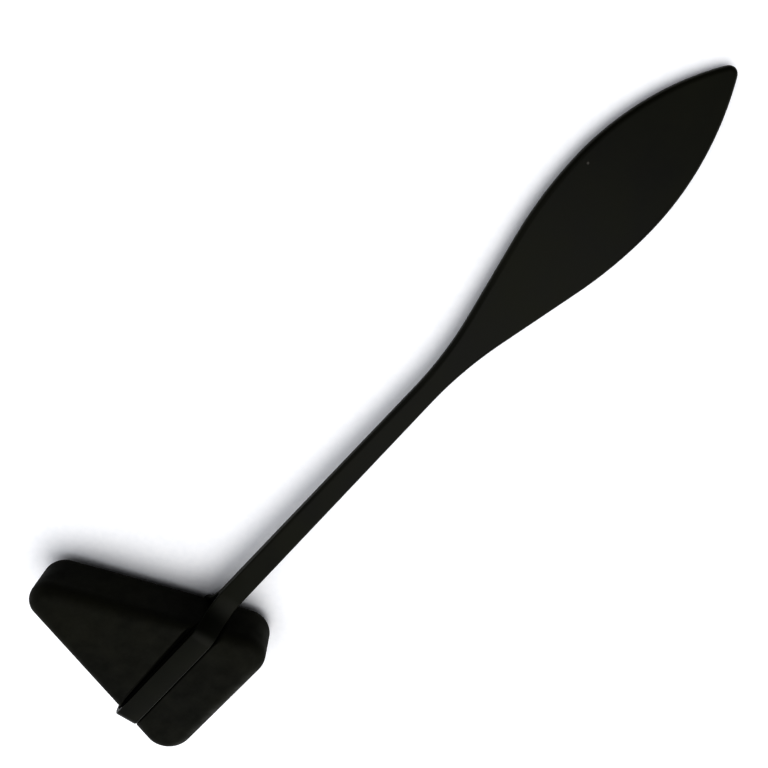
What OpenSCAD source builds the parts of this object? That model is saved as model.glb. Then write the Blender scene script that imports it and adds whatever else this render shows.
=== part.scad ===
// Reflex hammer with a triangular head: a flat leaf-shaped grip whose bar opens into a strip loop that is bent
// round a triangular rubber head. X runs along the handle from the head to the tip of the grip,
// Y from the flat base of the rubber to its apex, and Z through the thickness. The origin lies on
// the resting face of the loop's back arm, where the handle's centre line crosses the head.

/* [Overall] */
// Length from the far end of the loop to the tip of the grip
overall_l = 189; // [165:1:230]
// Width of the loop strip
strip_w = 5.4; // [4:0.1:7]
// Width of the shaft where it runs into the grip; from there it widens evenly to the loop
shaft_w = 4.8; // [4:0.1:7]
// Thickness of each arm of the loop; the bar of the handle is two of them thick
arm_t = 1.2; // [0.9:0.1:1.8]

/* [Grip] */
// Greatest width of the leaf-shaped grip
grip_w = 20.6; // [15:0.2:28]
// Distance from the tip to the widest point of the grip
grip_nose_l = 29; // [24:0.5:42]
// Radius of the blunt tip
grip_tip_r = 1.7; // [1:0.1:4]
// Radius of the grip's sides behind the widest point
grip_heel_r = 75; // [60:1:110]
// Angle at which the grip's sides run in towards the shaft
grip_taper_a = 13; // [11:0.5:17]
// Radius that blends the grip into the shaft
grip_neck_r = 80; // [40:1:110]

/* [Rubber head] */
// Length of the base edge with its corners sharp
head_base_l = 46.4; // [40:0.2:56]
// Height from the base to the apex with its corners sharp
head_h = 61.6; // [52:0.2:76]
// Thickness of the rubber
head_t = 12.6; // [11:0.2:18]
// Height of the handle's centre line above the base
head_axis_h = 16.2; // [13:0.2:20]
// Plan radius of the two base corners
head_base_r = 6.2; // [4.5:0.1:9]
// Plan radius of the apex
head_apex_r = 5; // [4.2:0.1:7]
// Radius along every edge of the rubber
head_edge_r = 3; // [1:0.1:4]

/* [Loop] */
// Height of the arms above the rubber's two faces
arm_proud = 0.5; // [0.2:0.1:0.8]
// Distance the loop's closed end stands out from the rubber's far side on the centre line
end_proud = 0.5; // [0.3:0.1:1.5]
// Inner radius of the two square bends at the closed end
end_bend_r = 1.4; // [0.8:0.1:2.5]
// Inner radius of the bends at the rubber's near side
near_bend_r = 3; // [2:0.1:4]
// Distance from the rubber's near side back to the start of those bends
near_bend_in = 3.6; // [2.6:0.1:4.6]
// Angle at which the arms leave the handle
fork_a = 45; // [38:1:52]
// Radius of the bends where the arms leave the handle
fork_bend_r = 9; // [5:0.5:11]
// Width of the gap at the root of the fork
fork_root_w = 0.6; // [0.3:0.05:1]
// Length of the closed stub between the fork and the handle's joint
fork_stub_l = 6; // [3:0.5:12]

/* [Fits] */
// Gap between the strip and the floor of its groove
seat_gap = 0.05; // [0.02:0.01:0.2]
// Gap between the strip and each wall of its groove
groove_gap = 0.15; // [0.05:0.05:0.4]

/* [Hidden] */
$fn = 96;
bend_steps = 16;
disc_fn = 64;
rim_fn = 32;
lap = 1;
bar_t = 2 * arm_t;
mid_z = head_t / 2 + arm_proud;

// Rubber head: half apex angle, apex height above the centre line and corner centres
apex_a = atan(head_base_l / 2 / head_h);
apex_y = head_h - head_axis_h;
base_c_x = ((head_h - head_base_r) * sin(apex_a) - head_base_r) / cos(apex_a);
base_c_y = head_base_r - head_axis_h;
near_c = [base_c_x, base_c_y];
far_c = [-base_c_x, base_c_y];
apex_c = [0, apex_y - head_apex_r / sin(apex_a)];
edge_z = head_t / 2 - head_edge_r;

// Loop: height of the arms' inner faces above the middle, and the places of its bends
arm_z = mid_z - arm_t;
side_x = apex_y * tan(apex_a);
loop_end_x = -side_x - end_proud;
end_bend_c = [loop_end_x + arm_t + end_bend_r, arm_z - end_bend_r];
near_bend_c = [side_x - near_bend_in, arm_z - near_bend_r];
leg_dir = [cos(fork_a), -sin(fork_a)];
leg_out = [sin(fork_a), cos(fork_a)];
fork_r = fork_bend_r + arm_t;
leg_l = (arm_z - (near_bend_r + fork_r) * (1 - cos(fork_a))) / sin(fork_a);
leg_end = near_bend_c + near_bend_r * leg_out + leg_l * leg_dir;
fork_c = leg_end + fork_r * leg_out;
root_a = acos(1 - fork_root_w / 2 / fork_r);
joint_x = fork_c.x + fork_stub_l;

// Grip: distances from the tip, and the radius that runs from the blunt tip to the widest point
tip_x = overall_l + loop_end_x;
half_w = grip_w / 2;
tip_run = grip_nose_l - grip_tip_r;
nose_r = (tip_run * tip_run + half_w * half_w - grip_tip_r * grip_tip_r) / (2 * (half_w - grip_tip_r));
nose_a = 180 - atan2(nose_r - half_w, tip_run);
taper_start = grip_nose_l + grip_heel_r * sin(grip_taper_a);
taper_half_w = half_w - grip_heel_r * (1 - cos(grip_taper_a));
neck_half_w = shaft_w / 2 + grip_neck_r * (1 - cos(grip_taper_a));
neck_start = taper_start + (taper_half_w - neck_half_w) / tan(grip_taper_a);
neck_end = neck_start + grip_neck_r * sin(grip_taper_a);

// Shaft: the place where it meets the grip, and how much its half width grows over each mm to the loop
shaft_x = tip_x - neck_end;
shaft_grow = (strip_w - shaft_w) / 2 / (shaft_x - near_bend_c.x);

// Half width of the shaft at x
function shaft_half_w(x) = shaft_w / 2 + shaft_grow * (shaft_x - x);

// Points along an arc
function arc(c, r, from, to) = [
  for (i = [0:bend_steps])
    let (a = from + (to - from) * i / bend_steps) c + r * [cos(a), sin(a)]
];

// Outline made of a path above the middle and its mirror image below
function both_sides(path) = concat(
  path,
  [for (i = [len(path) - 1:-1:0]) if (path[i].y > 0) [path[i].x, -path[i].y]]
);

// Side view of an arm's inner face, moved out by grow, from the closed end to the sloping leg
function arm_path(grow) = concat(
  arc(end_bend_c, end_bend_r + grow, 180, 90),
  arc(near_bend_c, near_bend_r + grow, 90, 90 - fork_a)
);

// Half of the handle's outline, with the tip of the grip at zero and the shaft along +X
handle_path = concat(
  arc([grip_tip_r, 0], grip_tip_r, 180, nose_a),
  arc([grip_nose_l, half_w - nose_r], nose_r, nose_a, 90),
  arc([grip_nose_l, half_w - grip_heel_r], grip_heel_r, 90, 90 - grip_taper_a),
  arc([neck_end, shaft_w / 2 + grip_neck_r], grip_neck_r, 270 - grip_taper_a, 270),
  [[tip_x - joint_x, shaft_half_w(joint_x)]]
);

// Half of the loop's plan: the arms keep their width as far as the near bends and then narrow with the shaft
loop_plan = [
  [loop_end_x - lap, strip_w / 2],
  [near_bend_c.x, strip_w / 2],
  [joint_x + lap, shaft_half_w(joint_x + lap)]
];

// Disc as thick as the rubber, with a round rim, which makes one corner of the rubber
module corner_disc(c, r) {
  translate([c.x, c.y, mid_z])
    rotate_extrude($fn = disc_fn)
      intersection() {
        union() {
          for (side = [-1, 1]) translate([r - head_edge_r, side * edge_z]) circle(head_edge_r, $fn = rim_fn);
          translate([0, -head_t / 2]) square([r - head_edge_r, head_t]);
          translate([0, -edge_z]) square([r, 2 * edge_z]);
        }
        translate([0, -head_t / 2]) square([r, head_t]);
      }
}

// Solid of width w across the handle's centre line, from its side view
module across(w) {
  translate([0, 0, mid_z])
    rotate([90, 0, 0])
      linear_extrude(w, center = true)
        children();
}

module rubber_head() {
  color([0.07, 0.07, 0.07])
    difference() {
      hull() {
        corner_disc(near_c, head_base_r);
        corner_disc(far_c, head_base_r);
        corner_disc(apex_c, head_apex_r);
      }
      across(strip_w + 2 * groove_gap)
        difference() {
          square([head_base_l, head_t + lap], center = true);
          polygon(both_sides(concat(
            arm_path(-seat_gap),
            [leg_end - seat_gap * leg_out]
          )));
        }
    }
}

module head_loop() {
  color([0.1, 0.1, 0.09])
    intersection() {
      across(strip_w + lap)
        difference() {
          polygon(both_sides(concat(
            arm_path(arm_t),
            arc(fork_c, fork_bend_r, 270 - fork_a, 270),
            [[joint_x, arm_t]]
          )));
          polygon(both_sides(concat(
            arm_path(0),
            arc(fork_c, fork_r, 270 - fork_a, 270 - root_a)
          )));
        }
      translate([0, 0, -lap])
        linear_extrude(2 * (mid_z + lap))
          polygon(both_sides(loop_plan));
    }
}

module handle() {
  color([0.1, 0.1, 0.09])
    translate([tip_x, 0, mid_z - arm_t])
      rotate([0, 0, 180])
        linear_extrude(bar_t)
          polygon(both_sides(handle_path));
}

rubber_head();
head_loop();
handle();
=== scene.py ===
import math
import bmesh
import bpy
from mathutils import Matrix, Quaternion, Vector


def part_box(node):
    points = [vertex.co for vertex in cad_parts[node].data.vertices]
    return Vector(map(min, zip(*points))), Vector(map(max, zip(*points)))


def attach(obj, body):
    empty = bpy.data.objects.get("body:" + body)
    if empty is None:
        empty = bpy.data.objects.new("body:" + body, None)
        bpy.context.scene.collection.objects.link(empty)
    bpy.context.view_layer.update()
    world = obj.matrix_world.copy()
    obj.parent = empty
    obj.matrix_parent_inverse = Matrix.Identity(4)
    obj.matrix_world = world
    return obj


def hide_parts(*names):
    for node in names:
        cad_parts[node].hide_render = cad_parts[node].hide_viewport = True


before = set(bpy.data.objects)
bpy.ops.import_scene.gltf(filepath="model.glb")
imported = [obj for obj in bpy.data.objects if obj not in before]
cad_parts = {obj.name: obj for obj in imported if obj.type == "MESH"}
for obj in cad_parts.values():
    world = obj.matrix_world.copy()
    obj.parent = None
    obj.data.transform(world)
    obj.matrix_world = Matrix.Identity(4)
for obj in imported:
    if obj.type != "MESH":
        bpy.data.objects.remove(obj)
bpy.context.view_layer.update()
mm = 0.001
closeTo = 1e-6    # m, two places this near are one place
flatWithin = 0.3  # degrees, a fold as slight as this is dissolved
rimFold = 40      # degrees, a plate's rims fold more than this
edgeFold = 38     # degrees, a fold past this is shaded as an edge
print("frame loaded")


def linearColour(hexColour):
    # sRGB hex to the linear colour that a shader takes
    parts = [int(hexColour[i:i + 2], 16) / 255 for i in (1, 3, 5)]
    return [p / 12.92 if p <= 0.04045 else ((p + 0.055) / 1.055) ** 2.4 for p in parts] + [1]


def addNode(tree, kind, settings, links=None):
    # settings name a property of the node or one of its inputs, links name its inputs
    node = tree.nodes.new(kind)
    for name, value in settings.items():
        if isinstance(name, str) and hasattr(node, name):
            setattr(node, name, value)
        else:
            node.inputs[name].default_value = value
    for name, source in (links or {}).items():
        tree.links.new(source, node.inputs[name])
    return node


def newMaterial(name):
    material = bpy.data.materials.new(name)
    material.use_nodes = True
    material.node_tree.nodes.clear()
    return material, material.node_tree


# Satin black stoving enamel over a steel bar and strip. It reads as near black with a slight olive cast,
# a soft broad sheen, a faint orange peel, and a little more shine on the rounded edges that hands polish,
# where a lighter tone is partly wear and partly a painted sheen.
enamel = {
    "deepTone": "#11120a",
    "paleTone": "#1d1e12",
    # a lighter tone for the rounded edges, which is wear and a painted sheen
    "edgeWearSheenTone": "#25251c",
    "chipTone": "#4a4844",
    "cloudSize": 14,         # mm across one cloud in the paint's tone
    "peelSize": 0.9,         # mm across one dimple, a little coarser than the real 0.5 so that it shows
    "peelDepth": 0.006,      # mm
    "roughness": (0.31, 0.42),
    "polish": 0.08,          # how much smoother the rounded edges are
    "specular": 0.2,         # low, as carbon black paint is
    "chips": [((-0.0170, 0.0024, 0.0112), 0.9), ((0.1435, 0.0081, 0.0080), 0.55)],  # place in m, mm across
}


def makeEnamel():
    s = enamel
    material, tree = newMaterial("satinBlackEnamel")
    place = addNode(tree, "ShaderNodeTexCoord", {}).outputs["Object"]
    clouds = addNode(tree, "ShaderNodeTexNoise",
                     {"Scale": 1 / (s["cloudSize"] * mm), "Detail": 3.0, "Roughness": 0.55},
                     {"Vector": place})
    peel = addNode(tree, "ShaderNodeTexNoise",
                   {"Scale": 1 / (s["peelSize"] * mm), "Detail": 2.0, "Roughness": 0.5}, {"Vector": place})
    spread = addNode(tree, "ShaderNodeMapRange", {"From Min": 0.32, "From Max": 0.68},
                     {"Value": clouds.outputs[0]})
    tone = addNode(tree, "ShaderNodeMix",
                   {"data_type": "RGBA", 6: linearColour(s["deepTone"]), 7: linearColour(s["paleTone"])},
                   {0: spread.outputs[0]})
    # the rounded edges get a lighter tone, more in some places than others: wear from handling and a
    # painted sheen
    edge = addNode(tree, "ShaderNodeAttribute", {"attribute_name": "edgeWearAndSheen"})
    edgeWearSheenShare = addNode(tree, "ShaderNodeMath", {"operation": "MULTIPLY"},
                     {0: edge.outputs["Fac"], 1: clouds.outputs[0]})
    colour = addNode(tree, "ShaderNodeMix", {"data_type": "RGBA", 7: linearColour(s["edgeWearSheenTone"])},
                     {0: edgeWearSheenShare.outputs[0], 6: tone.outputs[2]})
    # small ragged chips through to the grey primer
    for spot, size in s["chips"]:
        away = addNode(tree, "ShaderNodeVectorMath", {"operation": "DISTANCE", 1: spot}, {0: place})
        ragged = addNode(tree, "ShaderNodeMath", {"operation": "MULTIPLY", 1: size * mm},
                         {0: peel.outputs[0]})
        chip = addNode(tree, "ShaderNodeMath", {"operation": "LESS_THAN"},
                       {0: away.outputs["Value"], 1: ragged.outputs[0]})
        colour = addNode(tree, "ShaderNodeMix", {"data_type": "RGBA", 7: linearColour(s["chipTone"])},
                         {0: chip.outputs[0], 6: colour.outputs[2]})
    low, high = s["roughness"]
    gloss = addNode(tree, "ShaderNodeMapRange",
                    {"From Min": 0.3, "From Max": 0.7, "To Min": low, "To Max": high},
                    {"Value": clouds.outputs[0]})
    polished = addNode(tree, "ShaderNodeMath", {"operation": "MULTIPLY_ADD", 1: -s["polish"]},
                       {0: edge.outputs["Fac"], 2: gloss.outputs[0]})
    bump = addNode(tree, "ShaderNodeBump", {"Strength": 1.0, "Distance": s["peelDepth"] * mm},
                   {"Height": peel.outputs[0]})
    shader = addNode(tree, "ShaderNodeBsdfPrincipled", {"IOR": 1.5, "Specular IOR Level": s["specular"]},
                     {"Base Color": colour.outputs[2], "Roughness": polished.outputs[0],
                      "Normal": bump.outputs[0]})
    addNode(tree, "ShaderNodeOutputMaterial", {}, {"Surface": shader.outputs[0]})
    return material


# Black moulded rubber, a firm natural rubber filled with carbon black. It is duller than the enamel,
# with a fine skin from the mould, soft cloudy patches and a faint lighter grey band on its rims,
# which is dust bloom and a painted rim highlight.
rubber = {
    "deepTone": "#0f1009",
    "paleTone": "#1f1f13",
    # a lighter grey for the rims, which is bloom and a painted rim highlight
    "bloomAndSheenTone": "#26261c",
    "cloudSize": 17,         # mm
    "mottleSize": 3.5,       # mm
    "mottleShare": 0.35,     # how strongly the mottle breaks up the clouds
    "grainSize": 0.35,       # mm, the skin of a blasted mould, coarser than the real 0.1 so that it shows
    "grainDepth": 0.010,     # mm
    "waveSize": 7,           # mm, the slow unevenness of a soft moulding
    "waveDepth": 0.05,       # mm
    "roughness": (0.52, 0.68),
    "specular": 0.2,
}


def makeRubber():
    s = rubber
    material, tree = newMaterial("mouldedBlackRubber")
    place = addNode(tree, "ShaderNodeTexCoord", {}).outputs["Object"]
    clouds = addNode(tree, "ShaderNodeTexNoise",
                     {"Scale": 1 / (s["cloudSize"] * mm), "Detail": 4.0, "Roughness": 0.6},
                     {"Vector": place})
    mottle = addNode(tree, "ShaderNodeTexNoise",
                     {"Scale": 1 / (s["mottleSize"] * mm), "Detail": 3.0, "Roughness": 0.6},
                     {"Vector": place})
    grain = addNode(tree, "ShaderNodeTexNoise",
                    {"Scale": 1 / (s["grainSize"] * mm), "Detail": 2.0}, {"Vector": place})
    wave = addNode(tree, "ShaderNodeTexNoise",
                   {"Scale": 1 / (s["waveSize"] * mm), "Detail": 1.0}, {"Vector": place})
    patches = addNode(tree, "ShaderNodeMath", {"operation": "MULTIPLY_ADD", 1: s["mottleShare"]},
                      {0: mottle.outputs[0], 2: clouds.outputs[0]})
    spread = addNode(tree, "ShaderNodeMapRange", {"From Min": 0.45, "From Max": 0.9},
                     {"Value": patches.outputs[0]})
    tone = addNode(tree, "ShaderNodeMix",
                   {"data_type": "RGBA", 6: linearColour(s["deepTone"]), 7: linearColour(s["paleTone"])},
                   {0: spread.outputs[0]})
    # a lighter band along the rims: dust bloom and a painted rim highlight
    rim = addNode(tree, "ShaderNodeAttribute", {"attribute_name": "rimBloomAndSheen"})
    dustAndSheen = addNode(tree, "ShaderNodeMath", {"operation": "MULTIPLY"},
                    {0: rim.outputs["Fac"], 1: mottle.outputs[0]})
    withBloomAndSheen = addNode(tree, "ShaderNodeMix", {"data_type": "RGBA", 7: linearColour(s["bloomAndSheenTone"])},
                      {0: dustAndSheen.outputs[0], 6: tone.outputs[2]})
    low, high = s["roughness"]
    gloss = addNode(tree, "ShaderNodeMapRange",
                    {"From Min": 0.3, "From Max": 0.7, "To Min": high, "To Max": low},
                    {"Value": mottle.outputs[0]})
    swell = addNode(tree, "ShaderNodeBump", {"Strength": 1.0, "Distance": s["waveDepth"] * mm},
                    {"Height": wave.outputs[0]})
    skin = addNode(tree, "ShaderNodeBump", {"Strength": 1.0, "Distance": s["grainDepth"] * mm},
                   {"Height": grain.outputs[0], "Normal": swell.outputs[0]})
    shader = addNode(tree, "ShaderNodeBsdfPrincipled", {"IOR": 1.5, "Specular IOR Level": s["specular"]},
                     {"Base Color": withBloomAndSheen.outputs[2], "Roughness": gloss.outputs[0],
                      "Normal": skin.outputs[0]})
    addNode(tree, "ShaderNodeOutputMaterial", {}, {"Surface": shader.outputs[0]})
    return material


# White card under the hammer: matt, with a barely seen fibre
card = {"whiteTone": "#fbfbfc", "fibreTone": "#f3f4f6", "fibreSize": 1.5, "roughness": 0.9, "specular": 0.1}


def makeCard():
    s = card
    material, tree = newMaterial("mattWhiteCard")
    place = addNode(tree, "ShaderNodeTexCoord", {}).outputs["Object"]
    fibre = addNode(tree, "ShaderNodeTexNoise",
                    {"Scale": 1 / (s["fibreSize"] * mm), "Detail": 3.0}, {"Vector": place})
    tone = addNode(tree, "ShaderNodeMix",
                   {"data_type": "RGBA", 6: linearColour(s["whiteTone"]), 7: linearColour(s["fibreTone"])},
                   {0: fibre.outputs[0]})
    shader = addNode(tree, "ShaderNodeBsdfPrincipled",
                     {"Roughness": s["roughness"], "Specular IOR Level": s["specular"]},
                     {"Base Color": tone.outputs[2]})
    addNode(tree, "ShaderNodeOutputMaterial", {}, {"Surface": shader.outputs[0]})
    return material


def startAt(bm, x, y):
    # an outline is drawn in mm from one corner
    return bm.verts.new((x * mm, y * mm, 0))


def lineTo(bm, last, x, y):
    corner = startAt(bm, x, y)
    bm.edges.new((last, corner))
    return corner


def arcAbout(bm, last, centre, degrees, steps):
    # swings the last corner round a centre and leaves the edge of the curve behind it
    turned = bmesh.ops.spin(bm, geom=[last], cent=(centre[0] * mm, centre[1] * mm, 0), axis=(0, 0, 1),
                            angle=math.radians(degrees), steps=steps)
    return [part for part in turned["geom_last"] if isinstance(part, bmesh.types.BMVert)][0]


def fillAndRaise(bm, first, last, height):
    # closes the outline, fills it and raises it to a plate
    bm.edges.new((last, first))
    filled = bmesh.ops.contextual_create(bm, geom=bm.edges[:])["faces"]
    raised = bmesh.ops.extrude_face_region(bm, geom=filled)["geom"]
    tops = [part for part in raised if isinstance(part, bmesh.types.BMVert)]
    bmesh.ops.translate(bm, verts=tops, vec=(0, 0, height * mm))


def mirrorHalf(bm):
    # the half plate is open along its middle before its mirror image is joined on
    middle = [f for f in bm.faces if all(abs(v.co.y) < closeTo / 10 for v in f.verts)]
    bmesh.ops.delete(bm, geom=middle, context="FACES")
    bmesh.ops.mirror(bm, geom=bm.verts[:] + bm.edges[:] + bm.faces[:], matrix=Matrix.Identity(4),
                     merge_dist=closeTo, axis="Y")
    bmesh.ops.remove_doubles(bm, verts=bm.verts[:], dist=closeTo)
    bmesh.ops.dissolve_limit(bm, angle_limit=math.radians(flatWithin), verts=bm.verts[:], edges=bm.edges[:])
    bmesh.ops.recalc_face_normals(bm, faces=bm.faces[:])


def softenRims(bm, height, radius, jointX):
    # rounds the two outlines of a plate, except at the end that meets its neighbour,
    # and marks the rounding for a lighter tone there that is wear and a painted sheen
    def onRim(edge):
        below = all(abs(v.co.z) < closeTo for v in edge.verts)
        above = all(abs(v.co.z - height * mm) < closeTo for v in edge.verts)
        atJoint = all(abs(v.co.x - jointX) < closeTo for v in edge.verts)
        sharp = len(edge.link_faces) == 2 and edge.calc_face_angle(0) > math.radians(rimFold)
        return (below or above) and sharp and not atJoint
    wearAndSheen = bm.verts.layers.float.new("edgeWearAndSheen")
    rims = [e for e in bm.edges if onRim(e)]
    made = bmesh.ops.bevel(bm, geom=rims, offset=radius * mm, offset_type="OFFSET", segments=4, profile=0.5,
                           affect="EDGES", material=-1, clamp_overlap=True)
    for vert in made["verts"]:
        # its rows next to the flats get no wear or painted sheen
        up = min(vert.co.z, height * mm - vert.co.z) / (radius * mm)
        vert[wearAndSheen] = 1 if 0.05 < up < 0.95 else 0


def flatBorders(bm, border):
    # a narrow border inside every large flat face keeps its shading flat
    bm.normal_update()
    flats = [f for f in bm.faces if abs(f.normal.z) > 0.999]
    bmesh.ops.inset_region(bm, faces=flats, thickness=border * mm, depth=0, use_even_offset=True,
                           use_boundary=True)


def finishPiece(bm, name, material, node):
    for face in bm.faces:
        face.smooth = True
    mesh = bpy.data.meshes.new(name)
    bm.to_mesh(mesh)
    bm.free()
    mesh.materials.append(material)
    mesh.set_sharp_from_angle(angle=math.radians(edgeFold))
    piece = bpy.data.objects.new(name, mesh)
    bpy.context.scene.collection.objects.link(piece)
    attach(piece, "root")
    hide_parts(node)
    print(name, "made with", len(mesh.polygons), "faces")


# Lengths, widths and heights come from the frame; the radii and angles are the bender's and the moulder's
loopLow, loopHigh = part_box("head_loop")
barLow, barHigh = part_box("handle")
rubberLow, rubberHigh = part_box("rubber_head")
midHeight = (loopLow.z + loopHigh.z) / 2 / mm

loopStrip = {
    "thick": 1.2,            # mm, one arm
    "endBend": 1.4,          # inner radius of the square bends at the closed end
    "nearBend": 3.0,         # inner radius of the bends by the rubber's near side
    "nearBendIn": 3.6,       # how far inside the rubber's near side they start
    "forkAngle": 45,
    "forkBend": 9.0,         # outer radius where an arm runs into the bar
    "rootGap": 0.6,          # width of the gap at the root of the fork
    "edgeRound": 0.3,
    "border": 0.12,
}


def loopBends():
    # side view: height of an arm's inner face, centres of its two bends, and the way the sloping leg faces
    s = loopStrip
    inner = midHeight - s["thick"]
    endC = Vector((loopLow.x / mm + s["thick"] + s["endBend"], inner - s["endBend"]))
    nearC = Vector((headPlan()[3] - s["nearBendIn"], inner - s["nearBend"]))
    angle = math.radians(s["forkAngle"])
    return inner, endC, nearC, Vector((math.sin(angle), math.cos(angle)))


def makeLoop(material):
    s = loopStrip
    width = (loopHigh.y - loopLow.y) / mm
    endX, jointX = loopLow.x / mm, loopHigh.x / mm
    inner, endC, nearC, out = loopBends()
    outer = inner + s["thick"]
    forkR = s["forkBend"] + s["thick"]
    leg = (inner - (s["nearBend"] + forkR) * (1 - out.y)) / out.x
    legEnd = nearC + s["nearBend"] * out + leg * Vector((out.y, -out.x))
    forkC = legEnd + forkR * out
    rootAngle = math.acos(1 - s["rootGap"] / 2 / forkR)
    bm = bmesh.new()
    # outer line of the upper half, from the closed end to the joint
    first = startAt(bm, endX, 0)
    last = lineTo(bm, first, endX, endC.y)
    last = arcAbout(bm, last, endC, -90, 12)
    last = lineTo(bm, last, nearC.x, outer)
    last = arcAbout(bm, last, nearC, -s["forkAngle"], 14)
    last = lineTo(bm, last, *(forkC - s["forkBend"] * out))
    last = arcAbout(bm, last, forkC, s["forkAngle"], 18)
    last = lineTo(bm, last, jointX, s["thick"])
    last = lineTo(bm, last, jointX, 0)
    # inner line back from the root of the fork
    rootX = forkC.x - forkR * math.sin(rootAngle)
    last = lineTo(bm, last, rootX, 0)
    last = lineTo(bm, last, rootX, s["rootGap"] / 2)
    last = arcAbout(bm, last, forkC, math.degrees(rootAngle) - s["forkAngle"], 16)
    last = lineTo(bm, last, *(nearC + s["nearBend"] * out))
    last = arcAbout(bm, last, nearC, s["forkAngle"], 14)
    last = lineTo(bm, last, endC.x, inner)
    last = arcAbout(bm, last, endC, 90, 10)
    last = lineTo(bm, last, endX + s["thick"], 0)
    fillAndRaise(bm, first, last, width)
    mirrorHalf(bm)
    softenRims(bm, width, s["edgeRound"], loopHigh.x)
    flatBorders(bm, s["border"])
    # stands the plate on edge at the loop's height
    bmesh.ops.translate(bm, verts=bm.verts[:], vec=(0, 0, -width / 2 * mm))
    bmesh.ops.rotate(bm, verts=bm.verts[:], cent=(0, 0, 0), matrix=Matrix.Rotation(math.pi / 2, 3, "X"))
    bmesh.ops.translate(bm, verts=bm.verts[:], vec=(0, 0, midHeight * mm))
    # past the near bends the strip narrows with the shaft
    for vert in bm.verts:
        if vert.co.x > nearC.x * mm:
            vert.co.y *= shaftHalf(vert.co.x / mm) * mm / loopHigh.y
    finishPiece(bm, "headLoop", material, "head_loop")


gripBar = {
    "noseLength": 29,        # mm from the tip to the widest place
    "tipRadius": 1.7,
    "heelRadius": 75,
    "taperAngle": 13,
    "neckRadius": 80,
    "shaftWidth": 4.8,       # where the shaft meets the grip
    "edgeRound": 0.9,        # falls to the strip's own rounding at the joint
    "border": 0.25,
}


def neckPlaces():
    # where the blend from the grip to the shaft starts and ends, in mm from the tip
    s = gripBar
    half, taper = barHigh.y / mm, math.radians(s["taperAngle"])
    heelX = s["noseLength"] + s["heelRadius"] * math.sin(taper)
    heelHalf = half - s["heelRadius"] * (1 - math.cos(taper))
    neckHalf = s["shaftWidth"] / 2 + s["neckRadius"] * (1 - math.cos(taper))
    neckX = heelX + (heelHalf - neckHalf) / math.tan(taper)
    return neckX, neckHalf, neckX + s["neckRadius"] * math.sin(taper)


def shaftHalf(x):
    # half width of the bar at x, which widens evenly from the grip to the loop
    shaft, strip = gripBar["shaftWidth"] / 2, loopHigh.y / mm
    shaftX = barHigh.x / mm - neckPlaces()[2]
    return shaft + (strip - shaft) * (shaftX - x) / (shaftX - loopBends()[2].x)


def makeGrip(material):
    s = gripBar
    half, shaft = barHigh.y / mm, s["shaftWidth"] / 2
    height = (barHigh.z - barLow.z) / mm
    length = (barHigh.x - barLow.x) / mm
    jointHalf = shaftHalf(barLow.x / mm)
    wideX = s["noseLength"]
    run = wideX - s["tipRadius"]
    nose = (run ** 2 + half ** 2 - s["tipRadius"] ** 2) / (2 * (half - s["tipRadius"]))
    noseStart = 180 - math.degrees(math.atan2(nose - half, run))
    neckX, neckHalf, neckEnd = neckPlaces()
    bm = bmesh.new()
    # drawn from the tip, which is at zero, towards the head
    first = startAt(bm, 0, 0)
    last = arcAbout(bm, first, (s["tipRadius"], 0), noseStart - 180, 10)
    last = arcAbout(bm, last, (wideX, half - nose), 90 - noseStart, 30)
    last = arcAbout(bm, last, (wideX, half - s["heelRadius"]), -s["taperAngle"], 16)
    last = lineTo(bm, last, neckX, neckHalf)
    last = arcAbout(bm, last, (neckEnd, shaft + s["neckRadius"]), s["taperAngle"], 16)
    last = lineTo(bm, last, length, jointHalf)
    last = lineTo(bm, last, length, 0)
    fillAndRaise(bm, first, last, height)
    mirrorHalf(bm)
    softenRims(bm, height, s["edgeRound"], length * mm)
    # draws the rounding in towards the four corners of the joint
    keep = loopStrip["edgeRound"] / s["edgeRound"]
    for vert in bm.verts:
        side = math.copysign(jointHalf * mm, vert.co.y)
        face = height * mm if vert.co.z > height * mm / 2 else 0
        byCorner = abs(vert.co.y - side) < s["edgeRound"] * mm + closeTo
        if abs(vert.co.x - length * mm) < closeTo and byCorner:
            vert.co.y = side + (vert.co.y - side) * keep
            vert.co.z = face + (vert.co.z - face) * keep
    flatBorders(bm, s["border"])
    bmesh.ops.rotate(bm, verts=bm.verts[:], cent=(0, 0, 0), matrix=Matrix.Rotation(math.pi, 3, "Z"))
    bmesh.ops.translate(bm, verts=bm.verts[:], vec=(barHigh.x, 0, barLow.z))
    finishPiece(bm, "gripBar", material, "handle")


rubberHead = {
    "baseRadius": 6.2,                # mm, plan radius of the two base corners
    "apexRadius": 5.0,
    "edgeRound": 3.0,
    # where on the rounding the bloom and the painted rim highlight are strongest
    "bloomAndSheenPeak": 0.3,                   # how far up the rounding the bloom is strongest, from 0 to 1
    "border": 0.35,
    "seatGap": 0.05,                  # between the strip and the floor of its groove
    "grooveGap": 0.15,                # between the strip and the groove's wall
    "lipSpread": 0.5,                 # how wide the groove's lip is for its depth
    "channel": (-14.2, 12.6),         # the channel beside the strip, on the apex side, from x to x
    "channelWidth": (0.45, 1.25),     # at its far end and its near end
    "channelDepth": 1.5,              # below the strip's seat
    "channelOpens": 0.125,            # share of its length over which it opens at the far end
    "channelFrom": 0.6,               # where the seat is less deep than this, the channel gets shallower
    "channelLip": 1.0,                # how much more its lip spreads at its near end
    # rows of points beside the groove's wall, and cuts across it where the loop bends
    "rows": (0, 0.03, 0.1, 0.2, 0.35, 0.5, 0.65, 0.8, 0.95, 1.1, 1.25, 1.45, 1.65, 1.9, 2.15, 2.4),
    "farCuts": (-16.6, -16.35, -16.0, -15.6, -15.0, -14.2, -12.6, -11.0),
    "nearCuts": (12.6, 13.5, 14.0, 14.5, 15.0, 15.6, 16.3, 17.0),
}


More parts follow.
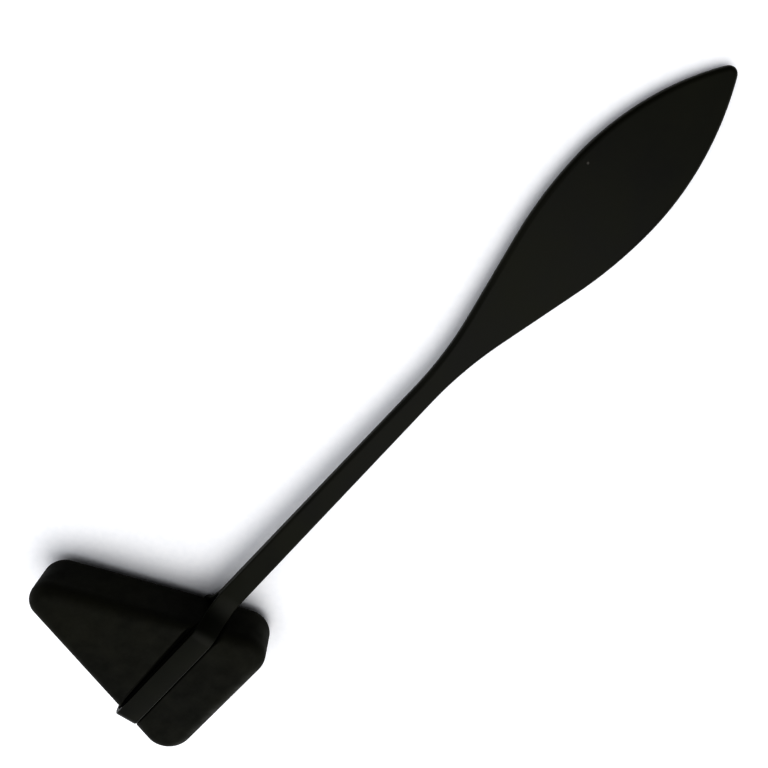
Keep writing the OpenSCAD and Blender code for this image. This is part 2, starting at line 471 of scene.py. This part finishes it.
def headPlan():
    # centres of the near corner and the apex, lean of the sides, x of the near side on the handle's line
    s = rubberHead
    corner = Vector((rubberHigh.x / mm - s["baseRadius"], rubberLow.y / mm + s["baseRadius"]))
    apex = Vector((0, rubberHigh.y / mm - s["apexRadius"]))
    span = apex - corner
    lean = math.acos((s["apexRadius"] - s["baseRadius"]) / span.length) - math.atan2(span.y, -span.x)
    sideX = corner.x + corner.y * math.tan(lean) + s["baseRadius"] / math.cos(lean)
    return corner, apex, lean, sideX


def seatPoint(x, z, bends):
    # nearest place to (x, z) on the floor of the groove, seen from the side, z up from the middle
    inner, endC, nearC, out = bends
    gap = rubberHead["seatGap"]
    endR, nearR = loopStrip["endBend"] - gap, loopStrip["nearBend"] - gap
    side = 1 if z >= 0 else -1
    p = Vector((x, abs(z)))
    fromEnd, fromNear = p - endC, p - nearC
    if fromEnd.x < 0 < fromEnd.y:
        if fromEnd.length > endR:
            p = endC + fromEnd.normalized() * endR
    elif fromNear.x <= 0:
        p = Vector((max(x, endC.x - endR), min(p.y, inner - gap)))
    elif fromNear.y > 0 and fromNear.x * out.y < fromNear.y * out.x:
        if fromNear.length > nearR:
            p = nearC + fromNear.normalized() * nearR
    else:
        p = p - max(0, fromNear.dot(out) - nearR) * out
    return p.x, side * p.y


def pressGroove(bm, wall):
    # presses the band under the strip in to its seat, with a rounded lip on each side and the channel
    s = rubberHead
    bends = loopBends()
    lastRow = wall + s["rows"][-1]
    start, end = s["channel"]
    thin, wide = s["channelWidth"]
    for vert in bm.verts:
        x, y, z = vert.co.x / mm, abs(vert.co.y) / mm, vert.co.z / mm - midHeight
        seatX, seatZ = seatPoint(x, z, bends)
        depth = math.hypot(seatX - x, seatZ - z)
        if y > lastRow + closeTo / mm or depth < closeTo / mm:
            continue
        along = min(1, max(0, (x - start) / (end - start))) if vert.co.y > 0 else 0
        opened = min(1, along / s["channelOpens"])
        half = wall + (thin + (wide - thin) * along) * opened
        lip = min((s["lipSpread"] + s["channelLip"] * along) * depth, lastRow - half)
        t = min(1, max(0, (y - half) / lip))
        share = 1 - math.sqrt(1 - (1 - t) ** 2)
        if wall + s["rows"][1] / 2 < y < half:
            # deeper beside the strip than under it
            share += s["channelDepth"] * opened * min(1, depth / s["channelFrom"]) / depth
        vert.co.x += (seatX - x) * share * mm
        vert.co.z += (seatZ - z) * share * mm


def makeHead(material):
    s = rubberHead
    corner, apex, lean = headPlan()[:3]
    turn = math.degrees(lean)
    across = Vector((math.cos(lean), math.sin(lean)))
    height = (rubberHigh.z - rubberLow.z) / mm
    bm = bmesh.new()
    first = startAt(bm, corner.x, corner.y - s["baseRadius"])
    last = arcAbout(bm, first, corner, 90 + turn, 28)
    last = lineTo(bm, last, *(apex + s["apexRadius"] * across))
    last = arcAbout(bm, last, apex, 180 - 2 * turn, 32)
    farCorner = Vector((-corner.x, corner.y))
    last = lineTo(bm, last, *(farCorner + s["baseRadius"] * Vector((-across.x, across.y))))
    last = arcAbout(bm, last, farCorner, 90 + turn, 28)
    fillAndRaise(bm, first, last, height)
    bmesh.ops.recalc_face_normals(bm, faces=bm.faces[:])
    # big soft edges all round both faces, marked for a lighter band that is bloom and a painted rim
    # highlight
    bloomAndSheen = bm.verts.layers.float.new("rimBloomAndSheen")
    rims = [e for e in bm.edges if e.calc_face_angle(0) > math.radians(rimFold)]
    made = bmesh.ops.bevel(bm, geom=rims, offset=s["edgeRound"] * mm, offset_type="OFFSET", segments=12,
                           profile=0.5, affect="EDGES", material=-1, clamp_overlap=True)
    for vert in made["verts"]:
        up = min(vert.co.z, height * mm - vert.co.z) / (s["edgeRound"] * mm)
        vert[bloomAndSheen] = max(0, 1 - abs(up - s["bloomAndSheenPeak"]) / s["bloomAndSheenPeak"])
    flatBorders(bm, s["border"])
    bmesh.ops.translate(bm, verts=bm.verts[:], vec=(0, 0, rubberLow.z))
    wall = loopHigh.y / mm + s["grooveGap"]
    for row in s["rows"]:
        for side in (-1, 1):
            bmesh.ops.bisect_plane(bm, geom=bm.verts[:] + bm.edges[:] + bm.faces[:], dist=closeTo / 10,
                                   plane_co=(0, side * (wall + row) * mm, 0), plane_no=(0, 1, 0))
    reach = (wall + s["rows"][-1]) * mm + closeTo
    for cut in s["farCuts"] + s["nearCuts"]:
        band = [f for f in bm.faces if all(abs(v.co.y) <= reach for v in f.verts)]
        parts = set(band) | {e for f in band for e in f.edges} | {v for f in band for v in f.verts}
        bmesh.ops.bisect_plane(bm, geom=list(parts), dist=closeTo / 10, plane_co=(cut * mm, 0, 0),
                               plane_no=(1, 0, 0))
    pressGroove(bm, wall)
    bmesh.ops.recalc_face_normals(bm, faces=bm.faces[:])
    finishPiece(bm, "rubberHead", material, "rubber_head")


enamelPaint = makeEnamel()
makeLoop(enamelPaint)
makeGrip(enamelPaint)
makeHead(makeRubber())

# The hammer lies on the near end of its back arm and on the tip of the grip, so the table leans a little
table = {"size": 3.0, "below": 0.03}  # m across, and mm of clearance
restX = loopBends()[2].x
slope = math.atan2(barLow.z - loopLow.z, barHigh.x - restX * mm)
lift = -restX * math.tan(slope) - table["below"]
tableBm = bmesh.new()
bmesh.ops.create_grid(tableBm, x_segments=2, y_segments=2, size=table["size"] / 2)
bmesh.ops.rotate(tableBm, verts=tableBm.verts[:], cent=(0, 0, 0), matrix=Matrix.Rotation(-slope, 3, "Y"))
bmesh.ops.translate(tableBm, verts=tableBm.verts[:], vec=(0, 0, lift * mm))
tableMesh = bpy.data.meshes.new("cardTable")
tableBm.to_mesh(tableMesh)
tableBm.free()
tableMesh.materials.append(makeCard())
tableTop = bpy.data.objects.new("cardTable", tableMesh)
bpy.context.scene.collection.objects.link(tableTop)
print("table laid")

# One very large soft lamp high on the base side of the head, and a weak low one that lights the rims
lamps = {
    "mainLamp": {"from": (-0.15, -0.42, 0.90), "away": 1.3, "size": 1.2, "power": 4.0, "tone": "#fffdf9"},
    "edgeLamp": {"from": (-0.66, -0.72, 0.12), "away": 1.3, "size": 0.8, "power": 1.5, "tone": "#fbfcff"},
}
lampAim = Vector((0.07, 0.005, 0.0))
for name, s in lamps.items():
    light = bpy.data.lights.new(name, "AREA")
    light.shape = "DISK"
    light.size = s["size"]
    light.energy = s["power"]
    light.color = linearColour(s["tone"])[:3]
    lamp = bpy.data.objects.new(name, light)
    bpy.context.scene.collection.objects.link(lamp)
    heading = Vector(s["from"]).normalized()
    lamp.location = lampAim + heading * s["away"]
    lamp.rotation_euler = heading.to_track_quat("Z", "Y").to_euler()

# The room is bright round the head and dim past the grip. The camera sees an even pale backdrop instead.
room = {
    "tone": "#fbfcff",
    "bright": 0.72,
    "dim": 0.10,
    "dimSide": (0.90, 0.43, 0.0),   # the way to the dim side
    "from": 0.22,                   # how near that way it starts to dim
    "to": 0.62,                     # and where it is as dim as it gets
}
world = bpy.data.worlds.new("studioRoom")
bpy.context.scene.world = world
world.use_nodes = True
roomTree = world.node_tree
roomTree.nodes.clear()
compass = addNode(roomTree, "ShaderNodeTexCoord", {})
towards = addNode(roomTree, "ShaderNodeVectorMath", {"operation": "DOT_PRODUCT", 1: room["dimSide"]},
                  {0: compass.outputs["Generated"]})
fade = addNode(roomTree, "ShaderNodeMapRange",
               {"interpolation_type": "SMOOTHSTEP", "From Min": room["from"], "From Max": room["to"],
                "To Min": room["bright"], "To Max": room["dim"]}, {"Value": towards.outputs["Value"]})
glow = addNode(roomTree, "ShaderNodeBackground", {"Color": linearColour(room["tone"])},
               {"Strength": fade.outputs[0]})
backdrop = addNode(roomTree, "ShaderNodeBackground",
                   {"Color": linearColour(room["tone"]), "Strength": room["bright"]})
seen = addNode(roomTree, "ShaderNodeLightPath", {})
both = addNode(roomTree, "ShaderNodeMixShader", {},
               {0: seen.outputs["Is Camera Ray"], 1: glow.outputs[0], 2: backdrop.outputs[0]})
addNode(roomTree, "ShaderNodeOutputWorld", {}, {"Surface": both.outputs[0]})
bpy.context.scene.view_settings.view_transform = "Standard"
bpy.context.scene.view_settings.look = "Very High Contrast"
print("lamps lit")

# Seen from over the grip's side, with the grip to the upper right
view = {
    "from": (123.33, 43.22, 137.36),   # mm
    "aim": (86.63, 7.73, 7.0),
    "roll": 176.7,                     # degrees
    "lens": 32.06,
}
cameraData = bpy.data.cameras.new("viewCamera")
cameraData.lens = view["lens"]
cameraData.sensor_width = 36
cameraData.clip_start = 0.005
camera = bpy.data.objects.new("viewCamera", cameraData)
bpy.context.scene.collection.objects.link(camera)
looking = Vector(view["aim"]) - Vector(view["from"])
camera.location = Vector(view["from"]) * mm
camera.rotation_mode = "QUATERNION"
camera.rotation_quaternion = (looking.to_track_quat("-Z", "Y")
                              @ Quaternion((0, 0, 1), math.radians(view["roll"])))
bpy.context.scene.camera = camera
print("camera set")
